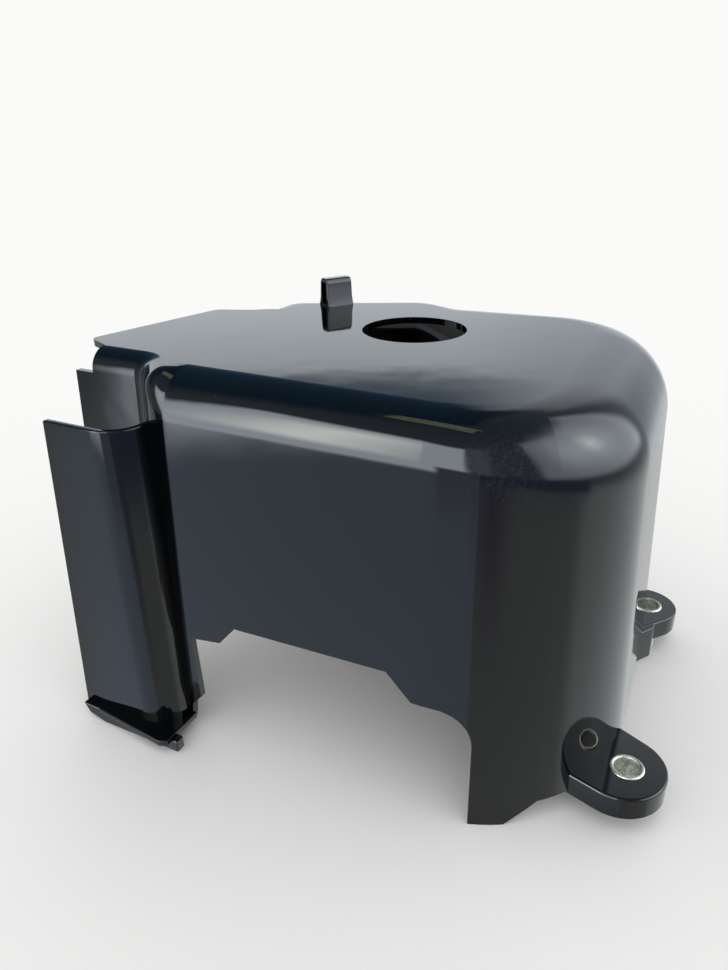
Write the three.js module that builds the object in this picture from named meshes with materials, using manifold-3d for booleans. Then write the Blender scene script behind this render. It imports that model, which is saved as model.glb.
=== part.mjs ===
// Engine cylinder shroud: a one-piece moulded cowl with a plug-boot hole, an open side and
// two bolting lugs, each with a pressed-in metal sleeve.
// Millimetres, +Z up, standing on its feet. The design is drawn from the axis of the plug-boot
// hole, with +X towards the lugs and +Y towards the back, and is centred at the very end.

import * as THREE from 'three';
import { mergeVertices } from 'three/addons/utils/BufferGeometryUtils.js';
import Module from 'manifold-3d';

const wasm = await Module();
wasm.setup();

const RAD = Math.PI / 180;

// ---------------------------------------------------------------------------------------------
// Driving dimensions
// ---------------------------------------------------------------------------------------------

// The moulded body
const WALL = 2.0;                 // wall thickness of the whole moulding
const BODY_HEIGHT = 108.5;        // floor to the flat top
const DRAFT = 2.24 * RAD;         // the walls lean outwards going down
const FRONT_Y = -69.2;            // the walls, where they would meet the top if it had no roll
const RIGHT_X = 72.4;             // at the hole's y
const RIGHT_SLANT = 3.6 * RAD;    // the right wall closes in towards the back
const BACK_Y = 48.6;              // at the hole's x
const BACK_SLANT = 5 * RAD;       // the back wall comes forward towards the left
const BACK_BEND_X = -10;          // and more so from here on
const BACK_BEND_SLANT = 25 * RAD;
const LEFT_X = -62;               // stub of wall behind the open side
const RISER_END_X = -43.4;        // where the front wall turns back to the set-back wall
const RISER_SLANT = 45 * RAD;

// Plan radii of the body's upright corners, and radii of the roll between wall and top
const FRONT_RIGHT_RADIUS = 41.2;
const BACK_RIGHT_RADIUS = 36;
const BACK_BEND_RADIUS = 60;
const BACK_LEFT_RADIUS = 14;
const FRONT_LEFT_RADIUS = 13;
const FRONT_ROLL = 12;
const REAR_ROLL = 22;
const LEFT_ROLL = 12;
const SET_BACK_ROLL = 6;

// Set-back wall beside the front wall, and the lip over the open side
const SET_BACK = 10.9;            // from the front wall back to the set-back wall
const SET_BACK_LENGTH = 35.6;     // from the riser to the set-back wall's free edge
const SET_BACK_ROLL_LENGTH = 29.1;
const SIDE_OPENING_BACK_Y = 6;    // back edge of the open side
const LIP_OVERHANG = 9.3;         // the lip's tip, past the end of the roll
const LIP_TIP_INSET = 9.7;        // the tip, behind the set-back wall
const LIP_REAR = [-71, -2.4];     // rear corner of the lip, and a point on its rear edge
const LIP_REAR_MIDDLE = [-60, 1.7];
const LIP_CORNER_Y = 14.2;        // where the lip's rear edge runs out into the top's roll,
const LIP_CORNER_RUN = 4.6;       // and how far it turns in before that

// Plug-boot hole in the top
const HOLE_DIAMETER = 31.2;

// Lower edge of the walls
const RIM_HEIGHT = 11.8;          // side and back walls end here, level with the lugs' tops
const STRIP_WIDTH = 7.1;          // strip beside the wing, which goes down to the ledge
const STRIP_FOOT_WIDTH = 8.9;
const STRIP_FOOT_HEIGHT = 12;
const STRIP_CHAMFER = 4;
const NOTCH_HEIGHT = 31.9;        // front cut-out: low notch at the left, rising a little
const NOTCH_RISE = 1.6;
const NOTCH_WIDTH = 10.3;
const ARCH_HEIGHT = 41.5;         // front cut-out: long straight middle
const ARCH_LEFT_DROP = 1.8;       // it sags a little towards the notch
const ARCH_WIDTH = 46;
const ARCH_START_X = -20.6;
const STEP_HEIGHT = 34.6;         // front cut-out: step before the foot
const STEP_RUN = 7;               // slope between the arch and the step
const FOOT_INSET = 28.7;          // upright edge of the foot, in from the right wall
const FOOT_LENGTH = 8.4;          // the foot's sole
const FOOT_RAMP_LENGTH = 7.1;     // the sole's ramp up to the near lug
const FOOT_RAMP_HEIGHT = 6.3;
const CUT_ROUND = 9.5;            // quarter round between the step and the foot

// Bolting lugs on the right wall, and their sleeves
const LUG_THICKNESS = 6.8;
const NEAR_LUG_Y = -44.9;
const NEAR_LUG_RADIUS = 12;
const NEAR_LUG_REACH = 3.2;       // sleeve axis outside the right wall's lower line
const NEAR_SLEEVE_OFFSET = 1.8;   // sleeve axis outside the centre of the lug's round end
const NEAR_LUG_SPREAD = [-16 * RAD, 24 * RAD];  // how far the front and back edges splay
const FAR_LUG_Y = 35.0;
const FAR_LUG_RADIUS = 10.4;
const FAR_LUG_REACH = 0.1;
const FAR_SLEEVE_OFFSET = 1.2;
const FAR_LUG_SPREAD = [52 * RAD, 0];
const LUG_EDGE = 0.8;             // chamfer round the lugs' undersides
const LUG_ROOT = 16;              // the lugs' edges run on this far inside the wall
const FAR_LEG_REACH = 3.7;        // leg under the far lug: out from the wall,
const FAR_LEG_FRONT = 18.5;       // its front, where it leaves the wall, before the lug's centre
const FAR_LEG_BACK = 4;           // and its back
const FAR_LEG_SPLAY = 57 * RAD;   // its front face slants out
const SLEEVE_DIAMETER = 9;
const SLEEVE_BORE = 6.8;
const SLEEVE_PROUD = 0.3;         // sleeve stands above the lug
const SLEEVE_CHAMFER = 0.35;
const FIT_GAP = 0.3;              // clearance between a sleeve and its lug

// Wing: a curved outer panel in front of the set-back wall, which forms a channel with it
const WING_DROP = 13.1;           // from the body's top to the wing's
const WING_BOTTOM = 3.4;
const WING_STANDOFF = 11.3;       // its flat face, in front of the front wall
const WING_LENGTH = 26.7;         // from the riser to the wing's free edge
const WING_BEND = 10.1;           // from the root to the centre of the bend
const WING_BEND_RADIUS = 9.9;
const WING_ROOT_SINK = 1.8;       // the root, behind the front wall's face
const WING_LEAN = 1.05 * RAD;     // the face leans outwards going down,
const WING_EDGE_LEAN = 1.3 * RAD; // so does the free edge, to the left,
const WING_ROOT_LEAN = 2.5 * RAD; // and the root moves to the right

// Ledge and rib under the wing
const LEDGE_THICKNESS = 2;
const LEDGE_TOP = 4.8;
const LEDGE_OVERHANG = 2.8;       // past the rib, at the right-hand end
const LEDGE_END = 5.9;            // from the riser to the ledge's right-hand end
const RIB_STANDOFF = 15.2;        // the rib's face, in front of the front wall at the top
const RIB_LENGTH = 32;
const RIB_END = 8;                // from the riser to the rib's right-hand end
const RIB_ROUND = 4;

// Cable clip: a narrow bridge on the top, by the back edge
const CLIP_INSET = [23.4, 23.8];  // in from the left stub wall and from the back wall
const CLIP_TURN = 58 * RAD;       // from +X to the run of the cable
const CLIP_WIDTH = 9.4;
const CLIP_DEPTH = 5.6;
const CLIP_HEIGHT = 8.9;
const CLIP_WALL = 1.2;
const CLIP_FLARE = 1.1;           // foot of each leg, outside the leg,
const CLIP_FLARE_HEIGHT = 2.7;    // and up it
const CLIP_TAPER = 0.4;           // the legs lean in towards the bridge

// Fineness of round shapes
const CORNER_STEPS = 12;
const ROLL_STEPS = 7;
const ROUND_STEPS = 40;
const WING_LEVELS = 6;
const BEYOND = 60;                // how far cutting shapes run past the body

// ---------------------------------------------------------------------------------------------
// Solids
// ---------------------------------------------------------------------------------------------

function toSolid(geometry) {
  const bare = geometry.clone();
  bare.deleteAttribute('normal');
  bare.deleteAttribute('uv');
  const merged = mergeVertices(bare, 1e-5);
  return new wasm.Manifold(new wasm.Mesh({
    numProp: 3,
    vertProperties: new Float32Array(merged.attributes.position.array),
    triVerts: new Uint32Array(merged.index.array),
  }));
}

function toGeometry(solid) {
  const mesh = solid.getMesh();
  const geometry = new THREE.BufferGeometry();
  geometry.setAttribute('position', new THREE.BufferAttribute(mesh.vertProperties, 3));
  geometry.setIndex(new THREE.BufferAttribute(mesh.triVerts, 1));
  geometry.computeVertexNormals();
  return geometry;
}

const shapeOf = (points) => new THREE.Shape(points.map(([x, y]) => new THREE.Vector2(x, y)));

// An outline in plan, made solid between two heights.
function upright(shape, from, to) {
  const geometry = new THREE.ExtrudeGeometry(shape, {
    depth: to - from, bevelEnabled: false, curveSegments: CORNER_STEPS,
  });
  geometry.translate(0, 0, from);
  return toSolid(geometry);
}

// An outline seen from the front (x across, z up), made solid between two y values.
function frontToBack(shape, from, to) {
  const geometry = new THREE.ExtrudeGeometry(shape, {
    depth: to - from, bevelEnabled: false, curveSegments: CORNER_STEPS,
  });
  geometry.rotateX(Math.PI / 2);
  geometry.translate(0, to, 0);
  return toSolid(geometry);
}

// An outline seen from the left-hand end (y across, z up), made solid between two x values.
function alongLength(shape, from, to) {
  const geometry = new THREE.ExtrudeGeometry(shape, {
    depth: to - from, bevelEnabled: false, curveSegments: CORNER_STEPS,
  });
  geometry.rotateX(Math.PI / 2);
  geometry.rotateZ(Math.PI / 2);
  geometry.translate(from, 0, 0);
  return toSolid(geometry);
}

function block(x0, x1, y0, y1, z0, z1) {
  const geometry = new THREE.BoxGeometry(x1 - x0, y1 - y0, z1 - z0);
  geometry.translate((x0 + x1) / 2, (y0 + y1) / 2, (z0 + z1) / 2);
  return toSolid(geometry);
}

function post(x, y, radius, z0, z1) {
  const geometry = new THREE.CylinderGeometry(radius, radius, z1 - z0, ROUND_STEPS);
  geometry.rotateX(Math.PI / 2);
  geometry.translate(x, y, (z0 + z1) / 2);
  return toSolid(geometry);
}

// ---------------------------------------------------------------------------------------------
// Body: rounded outline with a rolled top edge and drafted walls
// ---------------------------------------------------------------------------------------------

const draftAt = (z) => Math.tan(DRAFT) * (BODY_HEIGHT - z);
const rightWallX = (y) => RIGHT_X - y * Math.tan(RIGHT_SLANT);
const backWallY = (x) => BACK_Y + x * Math.tan(BACK_SLANT);

// The corners, anticlockwise from the left end of the front wall. roll is the roll's radius on
// the wall that arrives at the corner, and nextRoll on the wall that leaves it.
function bodyCorners() {
  const frontRightX = rightWallX(FRONT_Y);
  const slope = Math.tan(RIGHT_SLANT) * Math.tan(BACK_SLANT);
  const backRightX = (RIGHT_X - BACK_Y * Math.tan(RIGHT_SLANT)) / (1 + slope);
  const backBendY = backWallY(BACK_BEND_X);
  const backLeftY = backBendY - (BACK_BEND_X - LEFT_X) * Math.tan(BACK_BEND_SLANT);
  const riserStartY = FRONT_Y + (RISER_END_X - LEFT_X) * Math.tan(RISER_SLANT);
  const corner = (x, y, radius, roll, nextRoll) => ({ x, y, radius, roll, nextRoll });
  return [
    corner(RISER_END_X, FRONT_Y, FRONT_LEFT_RADIUS, SET_BACK_ROLL, FRONT_ROLL),
    corner(frontRightX, FRONT_Y, FRONT_RIGHT_RADIUS, FRONT_ROLL, REAR_ROLL),
    corner(backRightX, backWallY(backRightX), BACK_RIGHT_RADIUS, REAR_ROLL, REAR_ROLL),
    corner(BACK_BEND_X, backBendY, BACK_BEND_RADIUS, REAR_ROLL, LEFT_ROLL),
    corner(LEFT_X, backLeftY, BACK_LEFT_RADIUS, LEFT_ROLL, LEFT_ROLL),
    corner(LEFT_X, riserStartY, FRONT_LEFT_RADIUS, LEFT_ROLL, SET_BACK_ROLL),
  ];
}

// Points round the outline, each with its outward normal and its roll.
function outlineStations(corners) {
  const stations = [];
  corners.forEach((corner, i) => {
    const before = corners[(i + corners.length - 1) % corners.length];
    const after = corners[(i + 1) % corners.length];
    const arrive = Math.atan2(corner.y - before.y, corner.x - before.x);
    let turn = Math.atan2(after.y - corner.y, after.x - corner.x) - arrive;
    if (turn < 0) turn += 2 * Math.PI;
    const tangent = corner.radius * Math.tan(turn / 2);
    const startX = corner.x - tangent * Math.cos(arrive);
    const startY = corner.y - tangent * Math.sin(arrive);
    const centreX = startX - corner.radius * Math.sin(arrive);
    const centreY = startY + corner.radius * Math.cos(arrive);
    const steps = Math.max(3, Math.round(CORNER_STEPS * turn / (Math.PI / 2)));
    for (let step = 0; step <= steps; step += 1) {
      const part = step / steps;
      const angle = arrive + turn * part - Math.PI / 2;
      const nx = Math.cos(angle);
      const ny = Math.sin(angle);
      stations.push({
        x: centreX + corner.radius * nx,
        y: centreY + corner.radius * ny,
        nx, ny,
        roll: THREE.MathUtils.lerp(corner.roll, corner.nextRoll, part),
      });
    }
  });
  return stations;
}

// A solid whose skin runs through rings of points, one above the other, with flat ends.
function throughRings(rings) {
  const count = rings[0].length;
  const index = [];
  for (let level = 0; level + 1 < rings.length; level += 1) {
    for (let i = 0; i < count; i += 1) {
      const a = level * count + i;
      const b = level * count + (i + 1) % count;
      index.push(a, b, b + count, a, b + count, a + count);
    }
  }
  const cap = (level, flip) => {
    const flat = rings[level].map(([x, y]) => new THREE.Vector2(x, y));
    THREE.ShapeUtils.triangulateShape(flat, []).forEach(([a, b, c]) => {
      const base = level * count;
      index.push(base + a, base + (flip ? c : b), base + (flip ? b : c));
    });
  };
  cap(0, true);
  cap(rings.length - 1, false);
  const geometry = new THREE.BufferGeometry();
  geometry.setAttribute('position', new THREE.Float32BufferAttribute(rings.flat(2), 3));
  geometry.setIndex(index);
  return toSolid(geometry);
}

// The closed body inside the outline, taken in by inset all over: 0 gives the outside.
function bodySolid(stations, inset, bottom) {
  const top = BODY_HEIGHT - inset;
  const wallPoint = (s, z, into) => {
    const out = draftAt(z) - inset - into;
    return [s.x + s.nx * out, s.y + s.ny * out, z];
  };
  const rings = [stations.map((s) => wallPoint(s, bottom, 0))];
  for (let step = 0; step <= ROLL_STEPS; step += 1) {
    const angle = (Math.PI / 2) * step / ROLL_STEPS;
    rings.push(stations.map((s) => {
      const roll = s.roll - inset;
      const [x, y] = wallPoint(s, top - roll, roll * (1 - Math.cos(angle)));
      return [x, y, top - roll + roll * Math.sin(angle)];
    }));
  }
  return throughRings(rings);
}

// Section of the set-back part, seen from its end: wall, roll and top as one solid mass.
function setBackSection(inset, bottom, back) {
  const roll = SET_BACK_ROLL - inset;
  const top = BODY_HEIGHT - inset;
  const face = (z) => FRONT_Y + SET_BACK - draftAt(z) + inset;
  const rollBottom = top - roll;
  const shape = new THREE.Shape();
  shape.moveTo(face(bottom), bottom);
  shape.lineTo(back, bottom);
  shape.lineTo(back, top);
  shape.lineTo(face(rollBottom) + roll, top);
  shape.absarc(face(rollBottom) + roll, rollBottom, roll, Math.PI / 2, Math.PI, false);
  return shape;
}

// ---------------------------------------------------------------------------------------------
// Features of the moulding
// ---------------------------------------------------------------------------------------------

const SET_BACK_Y = FRONT_Y + SET_BACK;
const SET_BACK_END_X = RISER_END_X - SET_BACK_LENGTH;
const SET_BACK_ROLL_END_X = RISER_END_X - SET_BACK_ROLL_LENGTH;
const SET_BACK_FLAT_Y = SET_BACK_Y + SET_BACK_ROLL;  // where its roll meets the flat top

function lipSlab() {
  const root = LEFT_X + LEFT_ROLL;
  return upright(shapeOf([
    [SET_BACK_ROLL_END_X - LIP_OVERHANG, SET_BACK_Y + LIP_TIP_INSET],
    [SET_BACK_ROLL_END_X, SET_BACK_FLAT_Y],
    [root, SET_BACK_FLAT_Y],
    [root, LIP_CORNER_Y],
    [root - LIP_CORNER_RUN, SIDE_OPENING_BACK_Y],
    LIP_REAR_MIDDLE,
    LIP_REAR,
  ]), BODY_HEIGHT - WALL, BODY_HEIGHT);
}

const FOOT_START_X = rightWallX(FRONT_Y) - FOOT_INSET;

// What is cut away under the front wall, seen from the front.
function frontCutOut() {
  const low = -BEYOND;
  const stripEnd = RISER_END_X + STRIP_WIDTH;
  const stripFoot = RISER_END_X + STRIP_FOOT_WIDTH;
  const archEnd = ARCH_START_X + ARCH_WIDTH;
  const shape = new THREE.Shape();
  shape.moveTo(stripFoot - STRIP_CHAMFER, low);
  shape.lineTo(FOOT_START_X, low);
  shape.lineTo(FOOT_START_X, STEP_HEIGHT - CUT_ROUND);
  shape.absarc(FOOT_START_X - CUT_ROUND, STEP_HEIGHT - CUT_ROUND, CUT_ROUND, 0, Math.PI / 2, false);
  shape.lineTo(archEnd + STEP_RUN, STEP_HEIGHT);
  shape.lineTo(archEnd, ARCH_HEIGHT);
  shape.lineTo(ARCH_START_X, ARCH_HEIGHT - ARCH_LEFT_DROP);
  shape.lineTo(stripEnd + NOTCH_WIDTH, NOTCH_HEIGHT + NOTCH_RISE);
  shape.lineTo(stripEnd, NOTCH_HEIGHT);
  shape.lineTo(stripFoot, STRIP_FOOT_HEIGHT);
  shape.lineTo(stripFoot - STRIP_CHAMFER, STRIP_FOOT_HEIGHT - STRIP_CHAMFER);
  return frontToBack(shape, FRONT_Y - BEYOND, FRONT_Y + FRONT_RIGHT_RADIUS / 2);
}

// The sole of the foot, ramping up to the near lug, seen from the front.
function footSole() {
  const soleEnd = FOOT_START_X + FOOT_LENGTH;
  return frontToBack(shapeOf([
    [soleEnd, -BEYOND],
    [RIGHT_X + BEYOND, -BEYOND],
    [RIGHT_X + BEYOND, FOOT_RAMP_HEIGHT],
    [soleEnd + FOOT_RAMP_LENGTH, FOOT_RAMP_HEIGHT],
    [soleEnd, 0],
  ]), FRONT_Y - BEYOND, NEAR_LUG_Y);
}

function lugPlace(y, reach, offset, radius, spread) {
  const axis = rightWallX(y) + draftAt(RIM_HEIGHT) + reach;
  return { x: axis - offset, y, axis, radius, spread };
}

const nearLug = lugPlace(NEAR_LUG_Y, NEAR_LUG_REACH, NEAR_SLEEVE_OFFSET, NEAR_LUG_RADIUS, NEAR_LUG_SPREAD);
const farLug = lugPlace(FAR_LUG_Y, FAR_LUG_REACH, FAR_SLEEVE_OFFSET, FAR_LUG_RADIUS, FAR_LUG_SPREAD);
const LUG_UNDERSIDE = RIM_HEIGHT - LUG_THICKNESS;

// A lug in plan: a round end, and two edges that run inwards from it until well inside the wall.
function lugOutline(lug, inset) {
  const radius = lug.radius - inset;
  const [front, back] = lug.spread;
  const from = -Math.PI / 2 + front;
  const to = Math.PI / 2 - back;
  const root = (angle, side, slant) => [
    lug.x + radius * Math.cos(angle) - LUG_ROOT * Math.cos(slant),
    lug.y + radius * Math.sin(angle) + side * LUG_ROOT * Math.sin(slant),
  ];
  const shape = new THREE.Shape();
  shape.moveTo(...root(to, 1, back));
  shape.lineTo(...root(from, -1, front));
  shape.absarc(lug.x, lug.y, radius, from, to, false);
  return shape;
}

function lugSolid(lug) {
  const plate = upright(lugOutline(lug, 0), LUG_UNDERSIDE + LUG_EDGE, RIM_HEIGHT);
  return plate.add(upright(lugOutline(lug, LUG_EDGE), LUG_UNDERSIDE, RIM_HEIGHT));
}

// The leg under the far lug stands on the floor and carries the wall's lower edge.
function farLeg() {
  const wallX = rightWallX(farLug.y) + draftAt(0);
  const inside = wallX - LUG_ROOT;
  const frontY = farLug.y - FAR_LEG_FRONT;
  const slant = Math.tan(FAR_LEG_SPLAY);
  return upright(shapeOf([
    [inside, frontY - (wallX - inside) * slant],
    [wallX + FAR_LEG_REACH, frontY + FAR_LEG_REACH * slant],
    [wallX + FAR_LEG_REACH, farLug.y - FAR_LEG_BACK],
    [inside, farLug.y - FAR_LEG_BACK],
  ]), 0, RIM_HEIGHT);
}

// The wing in plan, at a given height. Its bend turns the flat face back to its root on the
// front wall.
function wingRing(z) {
  const down = BODY_HEIGHT - WING_DROP - z;
  const faceY = FRONT_Y - WING_STANDOFF - down * Math.tan(WING_LEAN);
  const freeX = RISER_END_X - WING_LENGTH - down * Math.tan(WING_EDGE_LEAN);
  const rootX = RISER_END_X + down * Math.tan(WING_ROOT_LEAN);
  const rootY = FRONT_Y - draftAt(z) + WING_ROOT_SINK;
  const centreX = rootX - WING_BEND;
  const centreY = faceY + WING_BEND_RADIUS;
  const span = Math.hypot(rootX - centreX, rootY - centreY);
  const bendEnd = Math.atan2(rootY - centreY, rootX - centreX) - Math.acos(WING_BEND_RADIUS / span);
  const points = [[freeX, faceY + WALL, z], [freeX, faceY, z]];
  const bend = (radius, part) => {
    const angle = -Math.PI / 2 + (bendEnd + Math.PI / 2) * part;
    points.push([centreX + radius * Math.cos(angle), centreY + radius * Math.sin(angle), z]);
  };
  for (let step = 0; step <= ROLL_STEPS; step += 1) bend(WING_BEND_RADIUS, step / ROLL_STEPS);
  points.push([rootX, rootY, z]);
  points.push([rootX - WALL * Math.cos(bendEnd), rootY - WALL * Math.sin(bendEnd), z]);
  for (let step = ROLL_STEPS; step >= 0; step -= 1) bend(WING_BEND_RADIUS - WALL, step / ROLL_STEPS);
  return points;
}

function wingSolid() {
  const rings = [];
  for (let level = 0; level <= WING_LEVELS; level += 1) {
    const z = THREE.MathUtils.lerp(WING_BOTTOM, BODY_HEIGHT - WING_DROP, level / WING_LEVELS);
    rings.push(wingRing(z));
  }
  return throughRings(rings);
}

function ledgeAndRib() {
  const face = FRONT_Y - RIB_STANDOFF;
  const wallY = FRONT_Y - draftAt(LEDGE_TOP) + WALL / 2;
  const ribEnd = RISER_END_X + RIB_END;
  const ribStart = ribEnd - RIB_LENGTH;
  const ledgeEnd = RISER_END_X + LEDGE_END;
  const bendStart = RISER_END_X - WING_BEND;
  const ledge = upright(shapeOf([
    [ribStart + WALL, face],
    [ledgeEnd - WALL, face - LEDGE_OVERHANG],
    [ledgeEnd, face - LEDGE_OVERHANG + WALL / 2],
    [ledgeEnd, wallY],
    [bendStart + WING_BEND_RADIUS, wallY],
    [bendStart, face + WALL * 2],
    [ribStart, face + WALL * 2],
  ]), LEDGE_TOP - LEDGE_THICKNESS, LEDGE_TOP);
  const rib = frontToBack(shapeOf([
    [ribStart + RIB_ROUND, 0],
    [ribEnd, 0],
    [ribEnd, LEDGE_TOP - LEDGE_THICKNESS / 2],
    [ribStart - RIB_ROUND, LEDGE_TOP],
    [ribStart - RIB_ROUND / 2, LEDGE_TOP / 3],
  ]), face, face + WALL * 1.5);
  return ledge.add(rib);
}

function clipSolid() {
  const half = CLIP_DEPTH / 2;
  const outside = shapeOf([
    [-half - CLIP_FLARE, -WALL / 2],
    [half + CLIP_FLARE, -WALL / 2],
    [half, CLIP_FLARE_HEIGHT],
    [half - CLIP_TAPER, CLIP_HEIGHT - CLIP_WALL],
    [half - CLIP_WALL, CLIP_HEIGHT],
    [-half + CLIP_WALL, CLIP_HEIGHT],
    [-half + CLIP_TAPER, CLIP_HEIGHT - CLIP_WALL],
    [-half, CLIP_FLARE_HEIGHT],
  ]);
  const slot = new THREE.Path([
    [-half + CLIP_WALL, CLIP_WALL / 2],
    [half - CLIP_WALL, CLIP_WALL / 2],
    [half - CLIP_WALL, CLIP_HEIGHT - CLIP_WALL],
    [-half + CLIP_WALL, CLIP_HEIGHT - CLIP_WALL],
  ].map(([x, y]) => new THREE.Vector2(x, y)));
  outside.holes.push(slot);
  const geometry = new THREE.ExtrudeGeometry(outside, { depth: CLIP_WIDTH, bevelEnabled: false });
  geometry.translate(0, 0, -CLIP_WIDTH / 2);
  geometry.rotateX(Math.PI / 2);
  geometry.rotateZ(CLIP_TURN - Math.PI / 2);
  const x = LEFT_X + CLIP_INSET[0];
  geometry.translate(x, backWallY(x) - CLIP_INSET[1], BODY_HEIGHT);
  return toSolid(geometry);
}

// ---------------------------------------------------------------------------------------------
// The moulding
// ---------------------------------------------------------------------------------------------

function mouldingSolid() {
  const stations = outlineStations(bodyCorners());
  const low = -WALL;
  const far = BEYOND * 2;
  const setBackReach = RISER_END_X + FRONT_LEFT_RADIUS;

  let outer = alongLength(setBackSection(0, 0, SET_BACK_FLAT_Y), SET_BACK_END_X, setBackReach);
  outer = outer.subtract(block(
    SET_BACK_END_X - WALL, SET_BACK_ROLL_END_X, FRONT_Y - BEYOND, BEYOND,
    BODY_HEIGHT - SET_BACK_ROLL, BODY_HEIGHT + WALL,
  ));
  outer = outer.add(bodySolid(stations, 0, 0)).add(lipSlab());

  const inner = bodySolid(stations, WALL, low).add(alongLength(
    setBackSection(WALL, low, SIDE_OPENING_BACK_Y + WALL / 2), SET_BACK_END_X - BEYOND, setBackReach,
  ));

  const ledgeUnderside = LEDGE_TOP - LEDGE_THICKNESS;
  const channelFloor = block(
    -far, RISER_END_X + STRIP_FOOT_WIDTH, FRONT_Y - BEYOND, SIDE_OPENING_BACK_Y, low, ledgeUnderside,
  );

  // Lugs and the leg are added before the hollow is taken out.
  const walls = outer
    .subtract(frontCutOut())
    .subtract(footSole())
    .subtract(block(-far, far, NEAR_LUG_Y, far, low, RIM_HEIGHT))
    .subtract(channelFloor);

  let moulding = walls
    .add(lugSolid(nearLug))
    .add(lugSolid(farLug))
    .add(farLeg())
    .subtract(inner)
    .add(wingSolid())
    .add(ledgeAndRib())
    .add(clipSolid())
    .subtract(post(0, 0, HOLE_DIAMETER / 2, BODY_HEIGHT - BEYOND / 2, BODY_HEIGHT + WALL));

  [nearLug, farLug].forEach((lug) => {
    const bore = SLEEVE_DIAMETER / 2 + FIT_GAP;
    moulding = moulding.subtract(post(lug.axis, lug.y, bore, low, RIM_HEIGHT + WALL));
  });
  return moulding;
}

// ---------------------------------------------------------------------------------------------
// Sleeves
// ---------------------------------------------------------------------------------------------

function sleeveGeometry() {
  const outer = SLEEVE_DIAMETER / 2;
  const bore = SLEEVE_BORE / 2;
  const top = LUG_THICKNESS + SLEEVE_PROUD;
  const c = SLEEVE_CHAMFER;
  const section = [
    [bore, 0], [outer, 0], [outer, top - c], [outer - c, top], [bore, top], [bore, 0],
  ].map(([x, y]) => new THREE.Vector2(x, y));
  const geometry = new THREE.LatheGeometry(section, ROUND_STEPS);
  geometry.rotateX(Math.PI / 2);
  return toGeometry(toSolid(geometry));
}

// ---------------------------------------------------------------------------------------------
// Scene graph
// ---------------------------------------------------------------------------------------------

const blackPolypropylene = new THREE.MeshStandardMaterial({ color: 0x15171b, roughness: 0.22, metalness: 0 });
const zincPlatedSteel = new THREE.MeshStandardMaterial({ color: 0xa9a79b, roughness: 0.42, metalness: 1 });

function named(name, geometry, material) {
  const mesh = new THREE.Mesh(geometry, material);
  mesh.name = name;
  return mesh;
}

const shroud = new THREE.Group();
shroud.add(named('shroud_moulding', toGeometry(mouldingSolid()), blackPolypropylene));
[['front_lug_sleeve', nearLug], ['rear_lug_sleeve', farLug]].forEach(([name, lug]) => {
  const sleeve = named(name, sleeveGeometry(), zincPlatedSteel);
  sleeve.position.set(lug.axis, lug.y, LUG_UNDERSIDE);
  shroud.add(sleeve);
});

// The part's own frame: the middle of its footprint, on the floor.
const extent = new THREE.Box3().setFromObject(shroud);
const footprint = extent.getCenter(new THREE.Vector3());
shroud.position.set(-footprint.x, -footprint.y, -extent.min.z);

export default shroud;
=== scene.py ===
"""Engine cylinder shroud: a glossy black moulded cowl with two metal lug sleeves, on a pale floor."""
import math

import bpy
from mathutils import Matrix, Vector


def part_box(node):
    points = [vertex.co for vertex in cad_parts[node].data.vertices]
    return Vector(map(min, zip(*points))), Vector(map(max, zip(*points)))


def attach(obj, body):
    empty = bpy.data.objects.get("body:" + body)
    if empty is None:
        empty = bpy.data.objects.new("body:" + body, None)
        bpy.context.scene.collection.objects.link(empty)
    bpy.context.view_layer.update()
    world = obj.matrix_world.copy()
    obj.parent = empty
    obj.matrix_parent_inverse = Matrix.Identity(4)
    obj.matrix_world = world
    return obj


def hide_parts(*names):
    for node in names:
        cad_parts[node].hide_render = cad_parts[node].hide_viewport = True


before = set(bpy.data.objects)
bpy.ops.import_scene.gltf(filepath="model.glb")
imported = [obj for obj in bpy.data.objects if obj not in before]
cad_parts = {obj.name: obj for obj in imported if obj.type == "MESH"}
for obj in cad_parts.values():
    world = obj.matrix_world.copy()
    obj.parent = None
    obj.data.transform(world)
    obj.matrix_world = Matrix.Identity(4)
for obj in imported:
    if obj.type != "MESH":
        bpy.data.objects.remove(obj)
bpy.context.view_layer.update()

# ---------------------------------------------------------------------------------------------
# Sizes, in millimetres from the axis of the plug-boot hole: +X to the lugs, +Y to the back
# ---------------------------------------------------------------------------------------------

MM = 0.001
WALL = 2.0
HEIGHT = 108.5
DRAFT = math.radians(2.24)
FRONT_Y = -69.2
RIGHT_X = 72.4
RIGHT_SLANT = math.radians(3.6)
BACK_Y = 48.6
BACK_SLANT = math.radians(5)
BACK_BEND_X = -10.0
BACK_BEND_SLANT = math.radians(25)
LEFT_X = -62.0
STUB_END_Y = 7.0                # the left wall's free edge, at the back of the open side
RISER_END_X = -43.4
SET_BACK_Y = -58.3
SET_BACK_END_X = -79.0
SET_BACK_ROLL_END_X = -72.5

FRONT_ROLL = 12.0
REAR_ROLL = 22.0
LEFT_ROLL = 12.0
SET_BACK_ROLL = 6.0

HOLE_RADIUS = 15.6
RIM_HEIGHT = 11.8
LEDGE_TOP = 4.8
LEDGE_THICKNESS = 2.0

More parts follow.
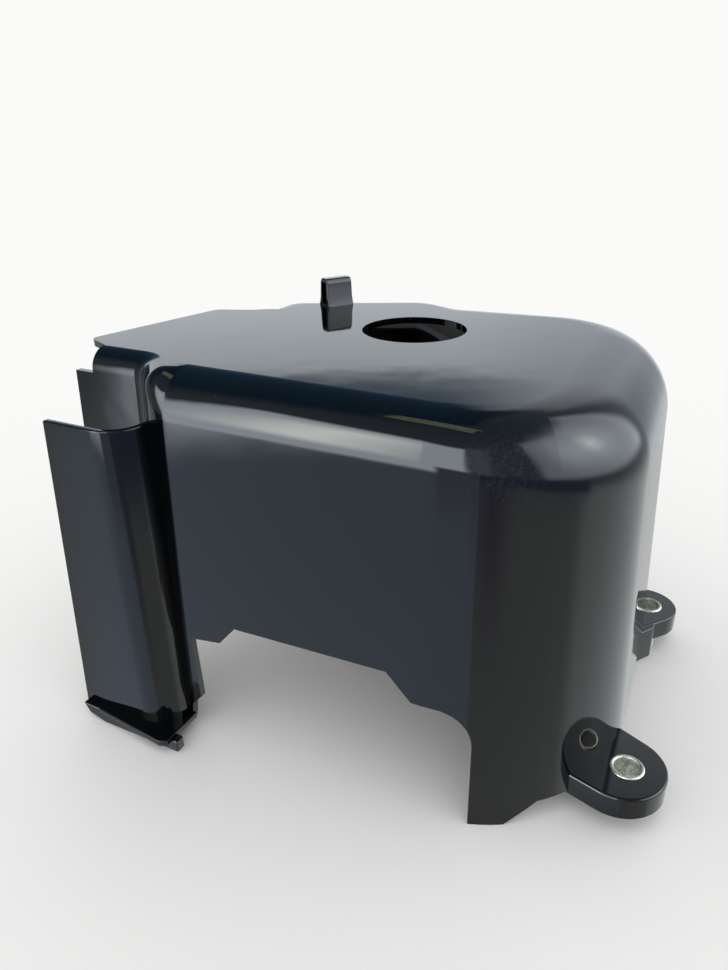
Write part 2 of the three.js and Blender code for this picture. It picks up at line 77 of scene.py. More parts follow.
# Front cut-out, from left to right: the upright edge of the strip, then heights along the cut
STRIP_EDGE_X = -36.3
STRIP_TOP = 31.9
STRIP_FOOT = 12.0
STRIP_SPREAD = 1.8              # the strip widens towards its foot
FOOT_EDGE_X = 48.05
FOOT_TOP = 25.1
CUT_ROUND = 9.5
CUT_LINE = [(STRIP_EDGE_X, STRIP_TOP), (-26.0, 33.5), (-20.6, 39.7), (25.4, 41.5), (32.4, 34.6),
            (FOOT_EDGE_X - CUT_ROUND, 34.6)]
SOLE = [(FOOT_EDGE_X, 0.0), (56.45, 0.0), (63.55, 6.3)]
STRIP_CHAMFER = [(-39.9, LEDGE_TOP - LEDGE_THICKNESS), (-39.1, 8.5), (STRIP_EDGE_X, STRIP_FOOT)]
STRIP_LEAN_START = -43.0
STRIP_WALL_Y = -60.0            # the strip's wall is in front of this
LOW_MARK_Z = 5.0                # heights at which the cut-out's upright edges are measured
CUT_MARK_Z = 15.0

# Rows of the wall's mesh: under the cut-out's line, above it, and round the roll
LOW_ROWS = 6
HIGH_ROWS = 22
ROLL_ROWS = 18
KINK_ROW = 0.5                  # a row just under the roll keeps the crease there crisp
MARKED_WALL_Y = -20.0           # marks count on the wall in front of this
SNAP = 0.12                     # a mark this near to a station, as a share of the step, moves it
WELD = 0.02
TOUCH = 0.01

# Lip over the open side: its outline from the end of the roll round to the left wall's free edge
LIP = [(-81.8, -48.6), (-71.0, -2.4), (-60.0, 1.7), (-55.2, 5.1)]
LIP_ROUNDING = 2.5

NEAR_LUG = {"centre": (80.41, -44.9), "sleeve": 82.21, "radius": 12.0, "splay": (-16.0, 24.0)}
FAR_LUG = {"centre": (72.88, 35.0), "sleeve": 74.08, "radius": 10.4, "splay": (52.0, 0.0)}
LUG_UNDERSIDE = 5.0
LUG_ROOT = 16.0
LEG_SINK = 0.2                  # how far the leg's top is below the lug's
LEG_OUTLINE = [(62.0, 0.0), (74.4, 16.5), (78.14, 22.3), (78.14, 31.0), (62.0, 31.0)]
SLEEVE_RADIUS = 4.5
BORE_RADIUS = 3.4
SLEEVE_TOP = 12.1

WING_TOP = 95.4
WING_BOTTOM = 3.4
WING_STANDOFF = 11.3
WING_LENGTH = 26.7
WING_BEND = 10.1                # from the root to the centre of the bend
WING_BEND_RADIUS = 9.9
WING_ROOT_SINK = 1.8
WING_LEAN = math.tan(math.radians(1.05))
WING_EDGE_LEAN = math.tan(math.radians(1.3))
WING_ROOT_LEAN = math.tan(math.radians(2.5))

RIB_FACE_Y = FRONT_Y - 15.2
RIB_START_X = -67.4
RIB_END_X = -35.4
LEDGE_END_X = -37.5

CLIP_PLACE = (-38.6, 21.4)
CLIP_TURN = math.radians(58)
CLIP_WIDTH = 9.4
CLIP_DEPTH = 5.6
CLIP_HEIGHT = 8.9
CLIP_WALL = 1.2

SMOOTH_BELOW = math.radians(32)

CAMERA_PLACE = (95.0, -213.3, 166.4)
CAMERA_TURN = math.radians(27.87)
CAMERA_PITCH = math.radians(64.94)
CAMERA_ROLL = math.radians(-0.87)
LENS = 29.32                    # focal length, on a sensor of this height
SENSOR_HEIGHT = 36.0

FLOOR_FILL = (1.08, 1.08, 1.07, 1.0)    # even light on all that isn't glossy
FLOOR_PAPER = "#f2f2f2"
FLOOR_RADIUS = 14               # metres

# The plug-boot hole's axis in the part's frame, from the front sleeve's middle
sleeve_low, sleeve_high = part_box("front_lug_sleeve")
HOLE_AXIS = Vector((
    (sleeve_low.x + sleeve_high.x) / 2 - NEAR_LUG["sleeve"] * MM,
    (sleeve_low.y + sleeve_high.y) / 2 - NEAR_LUG["centre"][1] * MM,
    0,
))
TO_PART = Matrix.Translation(HOLE_AXIS) @ Matrix.Scale(MM, 4)


def draft_at(z):
    """How far the walls have leant out at a height."""
    return math.tan(DRAFT) * (HEIGHT - z)


# ---------------------------------------------------------------------------------------------
# Camera, light and floor
# ---------------------------------------------------------------------------------------------

def add_camera():
    data = bpy.data.cameras.new("camera")
    data.sensor_fit = "VERTICAL"
    data.sensor_height = SENSOR_HEIGHT
    data.lens = LENS
    data.clip_start = 0.01
    camera = bpy.data.objects.new("camera", data)
    turn = Matrix.Rotation(CAMERA_TURN, 4, "Z")
    pitch = Matrix.Rotation(CAMERA_PITCH, 4, "X")
    roll = Matrix.Rotation(CAMERA_ROLL, 4, "Z")
    place = TO_PART @ Vector(CAMERA_PLACE)
    camera.matrix_world = Matrix.Translation(place) @ turn @ pitch @ roll
    bpy.context.collection.objects.link(camera)
    bpy.context.scene.camera = camera


# What the gloss mirrors, each over the one before: middle azimuth and elevation in degrees (azimuth
# runs from +Y towards +X), half sizes, width of the soft edge, and radiance
STUDIO_CARDS = [
    ("dark_ceiling_behind", (-60, 60), (60, 42), 24, (0.05, 0.13, 0.23)),
    ("floor_in_front", (-164, -31), (34, 14), 5, (0.68, 0.82, 0.99)),
    ("floor_at_the_right", (50, -31), (42, 16), 14, (0.94, 1.00, 1.00)),
    ("dark_gap", (135, 12), (40, 28), 14, (0.40, 0.41, 0.57)),
    ("dark_edge_of_floor", (126, -13), (40, 7), 8, (0.20, 0.25, 0.38)),
    ("wall_beside_front_box", (161, 16), (9, 24), 8, (0.80, 0.86, 1.10)),
    ("light_band_behind", (-42, 1), (36, 16.2), 1.6, (1.20, 1.30, 1.38)),
    ("back_board", (-2, 14), (15, 31), 12, (0.96, 1.04, 1.12)),
    ("right_softbox", (72, 24), (46, 27), 9, (1.90, 2.05, 2.25)),
    ("right_glow", (74, 29), (26, 17), 34, (4.40, 4.80, 5.10)),
    ("right_lamp", (64, 28), (5, 5), 16, (7.60, 8.20, 8.30)),
    ("front_softbox", (-163, 10), (27, 27), 5, (4.50, 4.95, 5.45)),
    ("front_lamp", (-150, 14), (5, 17), 14, (11.0, 11.4, 10.8)),
    ("floor_under_box_corner", (178, -15), (14, 7), 5, (0.52, 0.60, 0.74)),
    ("shade_between_floors", (153, -20), (8, 8), 18, (0.28, 0.28, 0.40)),
]

# A lamp of thin tubes on the ceiling: middle of the first tube, direction, half length and half width,
# soft edge and radiance, with the ceiling one unit up, and how far each tube is from the first
TUBE_LAMP = {"place": (-0.16, -0.092, 0), "turn": math.radians(-13.3), "half": (0.28, 0.007),
             "edge": 0.006, "radiance": (3.6, 3.8, 2.0)}
TUBE_OFFSETS = (0.0, -0.044, -0.088, -0.132)


def soft_patch(tree, across, up, centre, half, edge):
    """1 inside a rectangle in the two coordinates, 0 outside, and a smooth change over its edge."""
    masks = []
    for source, middle, reach in zip((across, up), centre, half):
        offset = add_node(tree, "ShaderNodeMath", {"operation": "SUBTRACT"}, {0: source}, {1: middle})
        nearest = add_node(tree, "ShaderNodeMath", {"operation": "WRAP"}, {0: offset.outputs[0]},
                           {1: 180, 2: -180})
        distance = add_node(tree, "ShaderNodeMath", {"operation": "ABSOLUTE"}, {0: nearest.outputs[0]})
        fall = add_node(tree, "ShaderNodeMapRange", {"interpolation_type": "SMOOTHSTEP"},
                        {"Value": distance.outputs[0]},
                        {"From Min": reach - edge / 2, "From Max": reach + edge / 2,
                         "To Min": 1.0, "To Max": 0.0})
        masks.append(fall.outputs["Result"])
    both = add_node(tree, "ShaderNodeMath", {"operation": "MULTIPLY"}, {0: masks[0], 1: masks[1]})
    return both.outputs[0]


def in_front(tree, view, mask, radiance):
    """A card of one brightness in front of what was there."""
    card = add_node(tree, "ShaderNodeMix", {"data_type": "RGBA"}, {"Factor": mask, "A": view},
                    {"B": (*radiance, 1.0)})
    return socket(card, "Result", "out")


def add_world():
    """Pale to the camera, an even fill on the floor, and a studio of softboxes for the gloss to mirror."""
    world = bpy.data.worlds.new("studio")
    bpy.context.scene.world = world
    world.use_nodes = True
    tree = world.node_tree
    tree.nodes.clear()
    direction = add_node(tree, "ShaderNodeTexCoord").outputs["Generated"]
    axes = add_node(tree, "ShaderNodeSeparateXYZ", None, {"Vector": direction})
    x, y, z = (axes.outputs[axis] for axis in "XYZ")
    turn = add_node(tree, "ShaderNodeMath", {"operation": "ARCTAN2"}, {0: x, 1: y})
    azimuth = add_node(tree, "ShaderNodeMath", {"operation": "DEGREES"}, {0: turn.outputs[0]}).outputs[0]
    rise = add_node(tree, "ShaderNodeMath", {"operation": "ARCSINE"}, {0: z})
    elevation = add_node(tree, "ShaderNodeMath", {"operation": "DEGREES"}, {0: rise.outputs[0]}).outputs[0]

    # From straight down to straight up: shaded floor, lit floor, a dim room, a blue-green ceiling
    share = add_node(tree, "ShaderNodeMapRange", None, {"Value": elevation},
                     {"From Min": -90.0, "From Max": 90.0})
    room = add_node(tree, "ShaderNodeValToRGB", None, {"Fac": share.outputs["Result"]})
    set_ramp(room, [(0.23, "#b0b0ad"), (0.27, "#cccecd"), (0.39, "#cccecd"), (0.43, "#b0b8c0"),
                    (0.75, "#9aa6b2"), (0.80, "#909fae"), (1.0, "#6c8596")])
    view = room.outputs["Color"]
    for _, centre, half, edge, radiance in STUDIO_CARDS:
        view = in_front(tree, view, soft_patch(tree, azimuth, elevation, centre, half, edge), radiance)

    # The tubes, found where the sight line meets the ceiling
    upward = add_node(tree, "ShaderNodeMath", {"operation": "MAXIMUM"}, {0: z}, {1: 0.05})
    ceiling = add_node(tree, "ShaderNodeVectorMath", {"operation": "DIVIDE"},
                       {0: direction, 1: upward.outputs[0]})
    tube = add_node(tree, "ShaderNodeMapping", {"vector_type": "TEXTURE"}, {"Vector": ceiling.outputs[0]},
                    {"Location": TUBE_LAMP["place"], "Rotation": (0, 0, TUBE_LAMP["turn"])})
    length = add_node(tree, "ShaderNodeSeparateXYZ", None, {"Vector": tube.outputs["Vector"]})
    for offset in TUBE_OFFSETS:
        glow = soft_patch(tree, length.outputs["X"], length.outputs["Y"], (0, offset),
                          TUBE_LAMP["half"], TUBE_LAMP["edge"])
        view = in_front(tree, view, glow, TUBE_LAMP["radiance"])

    lit_paper = tuple(paper * fill for paper, fill in zip(srgb(FLOOR_PAPER), FLOOR_FILL))
    path = add_node(tree, "ShaderNodeLightPath")
    seen = add_node(tree, "ShaderNodeMix", {"data_type": "RGBA"},
                    {"Factor": path.outputs["Is Glossy Ray"], "B": view}, {"A": FLOOR_FILL})
    pale = add_node(tree, "ShaderNodeMix", {"data_type": "RGBA"},
                    {"Factor": path.outputs["Is Camera Ray"], "A": socket(seen, "Result", "out")},
                    {"B": lit_paper})
    background = add_node(tree, "ShaderNodeBackground", None, {"Color": socket(pale, "Result", "out")})
    add_node(tree, "ShaderNodeOutputWorld", None, {"Surface": background.outputs["Background"]})


def add_floor():
    select_nothing()
    bpy.ops.mesh.primitive_circle_add(vertices=96, radius=FLOOR_RADIUS, fill_type="NGON")
    floor = bpy.context.object
    floor.name = "floor"
    floor.data.materials.append(matte_white_floor())
    floor.visible_glossy = False                # the studio's lower half stands in for it


# ---------------------------------------------------------------------------------------------
# Materials
# ---------------------------------------------------------------------------------------------

def srgb(code):
    """A colour written #rrggbb, as linear light."""
    values = [int(code[i:i + 2], 16) / 255 for i in (1, 3, 5)]
    linear = [v / 12.92 if v <= 0.04045 else ((v + 0.055) / 1.055) ** 2.4 for v in values]
    return (*linear, 1.0)


def socket(node, key, side):
    """The node's live socket of that name or number: a Mix node has one for each kind of data."""
    sockets = node.inputs if side == "in" else node.outputs
    if isinstance(key, int):
        return sockets[key]
    return [s for s in sockets if s.name == key and s.enabled][0]


def add_node(tree, kind, settings=None, links=None, values=None):
    """A node with its settings, its incoming links and its socket values."""
    node = tree.nodes.new(kind)
    for key, value in (settings or {}).items():
        setattr(node, key, value)
    for key, source in (links or {}).items():
        tree.links.new(source, socket(node, key, "in"))
    for key, value in (values or {}).items():
        socket(node, key, "in").default_value = value
    return node


def set_ramp(node, stops):
    ramp = node.color_ramp
    while len(ramp.elements) < len(stops):
        ramp.elements.new(0.5)
    for element, (place, colour) in zip(ramp.elements, stops):
        element.position = place
        element.color = srgb(colour)


def new_material(name):
    material = bpy.data.materials.new(name)
    material.use_nodes = True
    tree = material.node_tree
    shader = tree.nodes["Principled BSDF"]
    place = add_node(tree, "ShaderNodeTexCoord").outputs["Object"]
    return material, tree, shader, place


def matte_white_floor():
    """Matte white backdrop paper: no sheen at all, so that it runs into the background unseen."""
    material, _, shader, _ = new_material("matte_white_paper")
    shader.inputs["Base Color"].default_value = srgb(FLOOR_PAPER)
    shader.inputs["Roughness"].default_value = 1.0
    shader.inputs["Specular IOR Level"].default_value = 0.0
    return material


def noise(tree, place, size_mm, detail=2.0, roughness=0.5):
    """Noise whose blotches are about size_mm across."""
    node = add_node(tree, "ShaderNodeTexNoise", None, {"Vector": place},
                    {"Scale": 1 / (size_mm * MM), "Detail": detail, "Roughness": roughness})
    return node.outputs["Fac"]


def remap(tree, value, low, high, to_low=0.0, to_high=1.0):
    """A smooth change from one value to the other while the input goes from low to high."""
    node = add_node(tree, "ShaderNodeMapRange", {"interpolation_type": "SMOOTHSTEP"}, {"Value": value},
                    {"From Min": low, "From Max": high, "To Min": to_low, "To Max": to_high})
    return node.outputs["Result"]


def times(tree, a, b):
    product = add_node(tree, "ShaderNodeMath", {"operation": "MULTIPLY", "use_clamp": True}, {0: a, 1: b})
    return product.outputs[0]


def either(tree, a, b):
    return add_node(tree, "ShaderNodeMath", {"operation": "MAXIMUM"}, {0: a, 1: b}).outputs[0]


def near_place(tree, place, centre_mm, reach_mm):
    """1 at a place on the part, falling to 0 at reach_mm from it."""
    centre = TO_PART @ Vector(centre_mm)
    away = add_node(tree, "ShaderNodeVectorMath", {"operation": "DISTANCE"}, {0: place}, {1: centre})
    return remap(tree, away.outputs["Value"], reach_mm * MM, 0.0)


def scratches(tree, place, direction, spacing_mm, width_mm, share):
    """Short straight strokes along one direction: long thin cells, of which a share is marked."""
    stretched = add_node(tree, "ShaderNodeMapping", {"vector_type": "TEXTURE"}, {"Vector": place},
                         {"Rotation": direction, "Scale": (24.0, 1.0, 1.0)})
    cells = add_node(tree, "ShaderNodeTexVoronoi", {"feature": "F1"},
                     {"Vector": stretched.outputs["Vector"]}, {"Scale": 1 / (spacing_mm * MM)})
    chance = add_node(tree, "ShaderNodeSeparateColor", None, {"Color": cells.outputs["Color"]})
    strokes = remap(tree, cells.outputs["Distance"], width_mm / spacing_mm, 0.0)
    return times(tree, strokes, remap(tree, chance.outputs["Red"], 1 - share, 1.0))


SCUFFED_PLACES = [((50.0, -63.0, 98.0), 15), ((-50.0, -62.0, 103.0), 10)]


def gloss_moulded_polypropylene():
    """Polypropylene from a polished mould: near black, and so glossy that it mirrors the room, with the
    slight waviness of a moulded wall, fine scratches, dust, and hazy scuffs where it has been knocked."""
    material, tree, shader, place = new_material("gloss_moulded_polypropylene")
    shader.inputs["IOR"].default_value = 1.5

    grit = noise(tree, place, 0.9, detail=4.0, roughness=0.7)
    front_scuff, end_scuff = (near_place(tree, place, centre, reach) for centre, reach in SCUFFED_PLACES)
    scuffs = times(tree, either(tree, front_scuff, end_scuff), remap(tree, grit, 0.42, 0.70))
    lines = either(tree, scratches(tree, place, (0.0, 0.3, 0.05), 1.3, 0.07, 0.40),
                   scratches(tree, place, (0.1, 1.3, -0.3), 1.5, 0.07, 0.40))
    specks = add_node(tree, "ShaderNodeTexVoronoi", {"feature": "F1"}, {"Vector": place},
                      {"Scale": 1 / (3.2 * MM)})
    chance = add_node(tree, "ShaderNodeSeparateColor", None, {"Color": specks.outputs["Color"]})
    dust = times(tree, remap(tree, specks.outputs["Distance"], 0.07, 0.03),
                 remap(tree, chance.outputs["Red"], 0.86, 0.9))

    clouds = noise(tree, place, 22.0, detail=3.0)
    tint = add_node(tree, "ShaderNodeValToRGB", None, {"Fac": clouds})
    set_ramp(tint, [(0.35, "#040507"), (0.70, "#060709")])
    hazy = add_node(tree, "ShaderNodeMix", {"data_type": "RGBA"},
                    {"Factor": times(tree, scuffs, remap(tree, grit, 0.2, 0.9)), "A": tint.outputs["Color"]},
                    {"B": srgb("#26262b")})
    marked = add_node(tree, "ShaderNodeMix", {"data_type": "RGBA"},
                      {"Factor": times(tree, either(tree, dust, lines), grit),
                       "A": socket(hazy, "Result", "out")},
                      {"B": srgb("#4a4e54")})
    tree.links.new(socket(marked, "Result", "out"), shader.inputs["Base Color"])

    marks = remap(tree, either(tree, lines, dust), 0.0, 1.0, 0.0, 0.25)
    dull = either(tree, remap(tree, scuffs, 0.0, 1.0, 0.0, 0.26), marks)
    polish = remap(tree, noise(tree, place, 35.0, detail=2.0), 0.3, 0.7, 0.04, 0.07)
    finish = add_node(tree, "ShaderNodeMath", {"operation": "ADD"}, {0: polish, 1: dull})
    tree.links.new(finish.outputs[0], shader.inputs["Roughness"])

    wave = add_node(tree, "ShaderNodeBump", None, {"Height": noise(tree, place, 11.0, detail=1.0)},
                    {"Strength": 1.0, "Distance": 0.03 * MM})
    peel = add_node(tree, "ShaderNodeBump", None, {"Height": grit, "Normal": wave.outputs["Normal"]},
                    {"Strength": 1.0, "Distance": 0.0012 * MM})
    tree.links.new(peel.outputs["Normal"], shader.inputs["Normal"])
    return material


def zinc_plated_steel():
    """Rolled steel sleeve with a dull zinc plate: pale grey, faintly yellow, flecked bright and dark."""
    material, tree, shader, place = new_material("dull_zinc_plated_steel")
    shader.inputs["Metallic"].default_value = 1.0
    flecks = noise(tree, place, 0.5, detail=4.0, roughness=0.6)
    tint = add_node(tree, "ShaderNodeValToRGB", None, {"Fac": flecks})
    set_ramp(tint, [(0.34, "#aaaa98"), (0.50, "#d2d2c0"), (0.62, "#f2f2e6")])
    tree.links.new(tint.outputs["Color"], shader.inputs["Base Color"])
    tree.links.new(remap(tree, flecks, 0.3, 0.7, 0.55, 0.36), shader.inputs["Roughness"])
    pits = add_node(tree, "ShaderNodeBump", None, {"Height": flecks},
                    {"Strength": 1.0, "Distance": 0.03 * MM})
    tree.links.new(pits.outputs["Normal"], shader.inputs["Normal"])
    return material


def tarnished_steel_bore():
    """The sleeve's unplated bore, stained by bolt threads: nearly matte, mottled olive grey."""
    material, tree, shader, place = new_material("tarnished_steel_bore")
    shader.inputs["Metallic"].default_value = 1.0
    stains = noise(tree, place, 0.7, detail=5.0, roughness=0.6)
    tint = add_node(tree, "ShaderNodeValToRGB", None, {"Fac": stains})
    set_ramp(tint, [(0.36, "#a09f93"), (0.48, "#c0bfb3"), (0.62, "#dfded4")])
    tree.links.new(tint.outputs["Color"], shader.inputs["Base Color"])
    shader.inputs["Roughness"].default_value = 0.6
    ridges = add_node(tree, "ShaderNodeBump", None, {"Height": stains},
                      {"Strength": 1.0, "Distance": 0.02 * MM})
    tree.links.new(ridges.outputs["Normal"], shader.inputs["Normal"])
    return material


# ---------------------------------------------------------------------------------------------
# Modelling
# ---------------------------------------------------------------------------------------------

def select_nothing():
    bpy.ops.object.select_all(action="DESELECT")


def only(piece):
    select_nothing()
    piece.select_set(True)
    bpy.context.view_layer.objects.active = piece


def place_vertices(piece, points):
    for vertex, point in zip(piece.data.vertices, points):
        vertex.co = point


def apply_modifier(piece, kind, **settings):
    only(piece)
    modifier = piece.modifiers.new(kind.lower(), kind)
    for key, value in settings.items():
        setattr(modifier, key, value)
    bpy.ops.object.modifier_apply(modifier=modifier.name)


def soften_edges(piece, width, angle=30, segments=3):
    apply_modifier(piece, "BEVEL", width=width, segments=segments, limit_method="ANGLE",
                   angle_limit=math.radians(angle), use_clamp_overlap=True, miter_outer="MITER_ARC")


def face_outwards(piece):
    only(piece)
    bpy.ops.object.mode_set(mode="EDIT")
    bpy.ops.mesh.select_all(action="SELECT")
    bpy.ops.mesh.normals_make_consistent(inside=False)
    bpy.ops.object.mode_set(mode="OBJECT")


def prism(name, outline, low, high, stand=None):
    """A closed outline, pulled up from low to high. stand turns it from plan into place."""
    select_nothing()
    bpy.ops.mesh.primitive_circle_add(vertices=len(outline), fill_type="NGON")
    piece = bpy.context.object
    piece.name = name
    place_vertices(piece, [(x, y, low) for x, y in outline])
    bpy.ops.object.mode_set(mode="EDIT")
    bpy.ops.mesh.select_all(action="SELECT")
    bpy.ops.mesh.extrude_region_move(TRANSFORM_OT_translate={"value": (0, 0, high - low)})
    bpy.ops.object.mode_set(mode="OBJECT")
    if stand is not None:
        piece.data.transform(stand)
    face_outwards(piece)
    return piece


def combine(piece, other, operation):
    """Joins the other solid to this one or cuts it away, and uses it up."""
    apply_modifier(piece, "BOOLEAN", object=other, operation=operation, solver="EXACT")
    bpy.data.objects.remove(other, do_unlink=True)


def clean_joints(piece):
    """Merges the crowded points that joining solids leaves."""
    only(piece)
    bpy.ops.object.mode_set(mode="EDIT")
    bpy.ops.mesh.select_all(action="SELECT")
    bpy.ops.mesh.remove_doubles(threshold=WELD)
    bpy.ops.mesh.dissolve_degenerate(threshold=TOUCH)
    bpy.ops.object.mode_set(mode="OBJECT")


def arc(cx, cy, radius, start, end, steps):
    """Points on an arc, angles in degrees from +X."""
    points = []
    for step in range(steps + 1):
        a = math.radians(start + (end - start) * step / steps)
        points.append((cx + radius * math.cos(a), cy + radius * math.sin(a)))
    return points


# ---------------------------------------------------------------------------------------------
# The wall's path in plan
# ---------------------------------------------------------------------------------------------

def right_wall_x(y):
    return RIGHT_X - y * math.tan(RIGHT_SLANT)


def back_wall_y(x):
    return BACK_Y + x * math.tan(BACK_SLANT)


def wall_corners():
    """x, y, plan radius, and the roll's radius before and after, from the set-back wall round."""
    riser_start_x = RISER_END_X - (SET_BACK_Y - FRONT_Y)
    slope = math.tan(RIGHT_SLANT) * math.tan(BACK_SLANT)
    back_right_x = (RIGHT_X - BACK_Y * math.tan(RIGHT_SLANT)) / (1 + slope)
    bend_y = back_wall_y(BACK_BEND_X)
    back_left_y = bend_y - (BACK_BEND_X - LEFT_X) * math.tan(BACK_BEND_SLANT)
    return [
        (SET_BACK_END_X, SET_BACK_Y, 0, SET_BACK_ROLL, SET_BACK_ROLL),
        (riser_start_x, SET_BACK_Y, 7, SET_BACK_ROLL, SET_BACK_ROLL),
        (RISER_END_X, FRONT_Y, 13, SET_BACK_ROLL, FRONT_ROLL),
        (right_wall_x(FRONT_Y), FRONT_Y, 41.2, FRONT_ROLL, REAR_ROLL),
        (back_right_x, back_wall_y(back_right_x), 36, REAR_ROLL, REAR_ROLL),
        (BACK_BEND_X, bend_y, 60, REAR_ROLL, LEFT_ROLL),
        (LEFT_X, back_left_y, 14, LEFT_ROLL, LEFT_ROLL),
        (LEFT_X, STUB_END_Y, 0, LEFT_ROLL, LEFT_ROLL),
    ]


def smooth_step(t):
    return t * t * (3 - 2 * t)


def wall_stations(spacing=3.0, turn_step=math.radians(3)):
    """Stations along the wall: x, y, outward normal and roll radius."""
    corners = wall_corners()
    stations = []

    def add(x, y, heading, roll):
        stations.append({"x": x, "y": y, "nx": math.sin(heading), "ny": -math.cos(heading), "roll": roll})

    for i, (x, y, radius, roll, next_roll) in enumerate(corners):
        if i == 0:
            heading = math.atan2(corners[1][1] - y, corners[1][0] - x)
            add(x, y, heading, roll)
            continue
        px, py = corners[i - 1][:2]
        heading = math.atan2(y - py, x - px)
        turn = 0.0
        if i + 1 < len(corners):
            onward = math.atan2(corners[i + 1][1] - y, corners[i + 1][0] - x)
            turn = math.remainder(onward - heading, 2 * math.pi)
        tangent = radius * math.tan(abs(turn) / 2)
        last = stations[-1]
        start_x = x - tangent * math.cos(heading)
        start_y = y - tangent * math.sin(heading)
        run = math.hypot(start_x - last["x"], start_y - last["y"])
        steps = max(2, round(run / spacing))
        for step in range(1, steps + 1):
            t = step / steps
            add(last["x"] + (start_x - last["x"]) * t, last["y"] + (start_y - last["y"]) * t, heading, roll)
        if not radius:
            continue
        side = math.copysign(1, turn)
        centre_x = start_x - side * radius * math.sin(heading)
        centre_y = start_y + side * radius * math.cos(heading)
        steps = max(8, round(abs(turn) / turn_step))
        for step in range(1, steps + 1):
            t = step / steps
            bearing = heading + turn * t
            add(centre_x + side * radius * math.sin(bearing), centre_y - side * radius * math.cos(bearing),
                bearing, roll + (next_roll - roll) * smooth_step(t))
    return stations


def add_marks(stations, marks, z):
    """Puts a station where the front of the wall, at height z, crosses each marked x."""
    def across(station):
        return station["x"] + station["nx"] * draft_at(z)

    for mark in marks:
        for i in range(len(stations) - 1):
            a, b = stations[i], stations[i + 1]
            if a["y"] > MARKED_WALL_Y or not across(a) < mark < across(b):
                continue
            t = (mark - across(a)) / (across(b) - across(a))
            if t < SNAP:
                shift = i
            elif t > 1 - SNAP:
                shift = i + 1
            else:
                shift = None
            new = {key: a[key] + (b[key] - a[key]) * t for key in a}
            if shift is None:
                stations.insert(i + 1, new)
            else:
                stations[shift] = new
            break


def along(line, x):
    """Height of a line of (x, height) points at x."""
    for (x0, z0), (x1, z1) in zip(line, line[1:]):
        if x <= x1:
            return z0 + (z1 - z0) * max(0.0, x - x0) / (x1 - x0)
    return line[-1][1]


def foot_of(station):
    """Height of the wall's lower edge."""
    x = station["x"] + station["nx"] * draft_at(LOW_MARK_Z)
    if station["y"] > NEAR_LUG["centre"][1]:
        return RIM_HEIGHT if x > 0 or station["y"] > 0 else STRIP_CHAMFER[0][1]
    if x <= STRIP_EDGE_X:
        return along(STRIP_CHAMFER, x)
    return along(SOLE, x)


def split_of(station):
    """Height of the line that the front cut-out follows, carried on round the wall."""
    x = station["x"] + station["nx"] * draft_at(CUT_MARK_Z)
    if station["y"] > NEAR_LUG["centre"][1] and x > 0 or x >= FOOT_EDGE_X:
        return FOOT_TOP
    if x <= STRIP_EDGE_X or station["y"] > 0:
        return STRIP_TOP
    if x <= FOOT_EDGE_X - CUT_ROUND:
        return along(CUT_LINE, x)
    reach = (x - FOOT_EDGE_X + CUT_ROUND) / CUT_ROUND
    return FOOT_TOP + CUT_ROUND * math.sqrt(max(0.0, 1 - reach * reach))


def strip_shift(station, z):
    """The columns beside the strip's edge lean to the right towards its foot."""
    if station["y"] > STRIP_WALL_Y or station["x"] > STRIP_EDGE_X + TOUCH:
        return 0.0
    share = (station["x"] - STRIP_LEAN_START) / (STRIP_EDGE_X - STRIP_LEAN_START)
    drop = max(0.0, STRIP_TOP - z) / (STRIP_TOP - STRIP_FOOT)
    return STRIP_SPREAD * max(0.0, share) * drop


def column(station):
    """Points of the outer skin above one station, from its lower edge to the flat top."""
    foot, split, roll = foot_of(station), split_of(station), station["roll"]
    top = HEIGHT - roll
    heights = [foot + (split - foot) * i / LOW_ROWS for i in range(LOW_ROWS)]
    heights += [split + (top - KINK_ROW - split) * i / HIGH_ROWS for i in range(HIGH_ROWS + 1)]
    points = []
    for z in heights:
        out = draft_at(z)
        shift = strip_shift(station, z)
        points.append((station["x"] + station["nx"] * out + shift, station["y"] + station["ny"] * out, z))
    out = draft_at(top)
    for i in range(ROLL_ROWS + 1):
        angle = math.pi / 2 * i / ROLL_ROWS
        inset = out - roll * (1 - math.cos(angle))
        points.append((station["x"] + station["nx"] * inset, station["y"] + station["ny"] * inset,
                       top + roll * math.sin(angle)))
    return points


